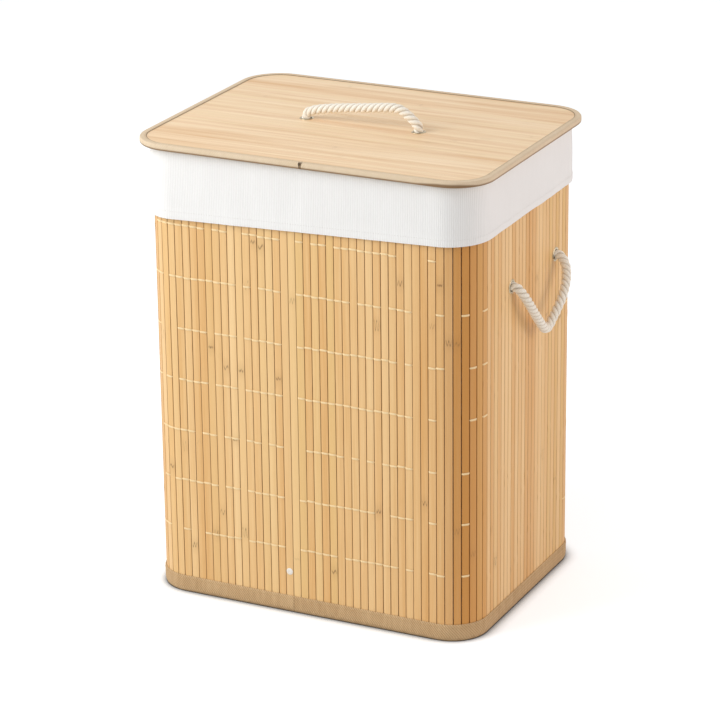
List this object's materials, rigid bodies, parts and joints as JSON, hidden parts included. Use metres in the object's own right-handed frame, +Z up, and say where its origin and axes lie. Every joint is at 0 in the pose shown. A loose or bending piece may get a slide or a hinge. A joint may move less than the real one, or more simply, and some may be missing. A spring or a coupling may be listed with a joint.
{
  "type": "laundry hamper",
  "caption": "Rectangular laundry hamper with rounded corners: bamboo slat wall, folded-over cotton liner, hinged slatted lid and rope handles.",
  "frame": {"origin": "on the floor, under the middle of the body", "axes": "+X to the right seen from the front, +Y from front to back, +Z up"},
  "size_m": [0.4522, 0.322, 0.5617],
  "materials": {
    "bamboo": "natural satin",
    "board": "raw fibreboard",
    "tape": "woven tape",
    "webbing": "woven webbing",
    "cotton": "ribbed cotton",
    "canvas": "plain weave",
    "thread": "waxed thread",
    "rope": "twisted cotton",
    "nickel": "nickel plated",
    "white_rivet": "white enamel"
  },
  "bodies": {
    "hamper": {"back_left_corner_slats": "bamboo", "back_right_corner_slats": "bamboo", "back_slats": "bamboo", "base_board": "board", "bottom_binding": "tape", "bottom_cloth": "canvas", "front_left_corner_slats": "bamboo", "front_left_slats": "bamboo", "front_right_corner_slats": "bamboo", "front_right_slats": "bamboo", "hinge_rivets": "nickel", "hinge_straps": "webbing", "left_handle_eyelets": "nickel", "left_handle_knots": "rope", "left_handle_washers": "nickel", "left_slats": "bamboo", "liner": "cotton", "right_handle_eyelets": "nickel", "right_handle_knots": "rope", "right_handle_washers": "nickel", "right_slats": "bamboo", "seam_lap_slats": "bamboo", "seam_rivets": "white_rivet", "top_binding": "tape", "wall_threads": "thread"},
    "lid": {"lid_board": "board", "lid_slats": "bamboo", "lid_binding": "tape", "lid_eyelets": "nickel", "lid_washers": "nickel", "lid_handle_knots": "rope", "hinge_tabs": "webbing"},
    "lid_handle": {"lid_handle_rope": "rope"},
    "right_handle": {"right_handle_rope": "rope"},
    "left_handle": {"left_handle_rope": "rope"}
  },
  "joints": [
    {"name": "lid_hinge", "type": "hinge", "parent": "hamper", "child": "lid", "pos_m": [0, 0.1556, 0.5252], "axis": [-1, 0, 0], "range_deg": [0, 105]},
    {"name": "lid_handle_tilt", "type": "hinge", "parent": "lid", "child": "lid_handle", "pos_m": [0, 0, 0.5384], "axis": [1, 0, 0], "range_deg": [-60, 60], "stiffness_Nm_per_rad": 0.02},
    {"name": "right_handle_swing", "type": "hinge", "parent": "hamper", "child": "right_handle", "pos_m": [0.2061, 0.018, 0.385], "axis": [0, -1, 0], "range_deg": [0, 115]},
    {"name": "left_handle_swing", "type": "hinge", "parent": "hamper", "child": "left_handle", "pos_m": [-0.2061, 0.018, 0.385], "axis": [0, 1, 0], "range_deg": [0, 115]}
  ]
}
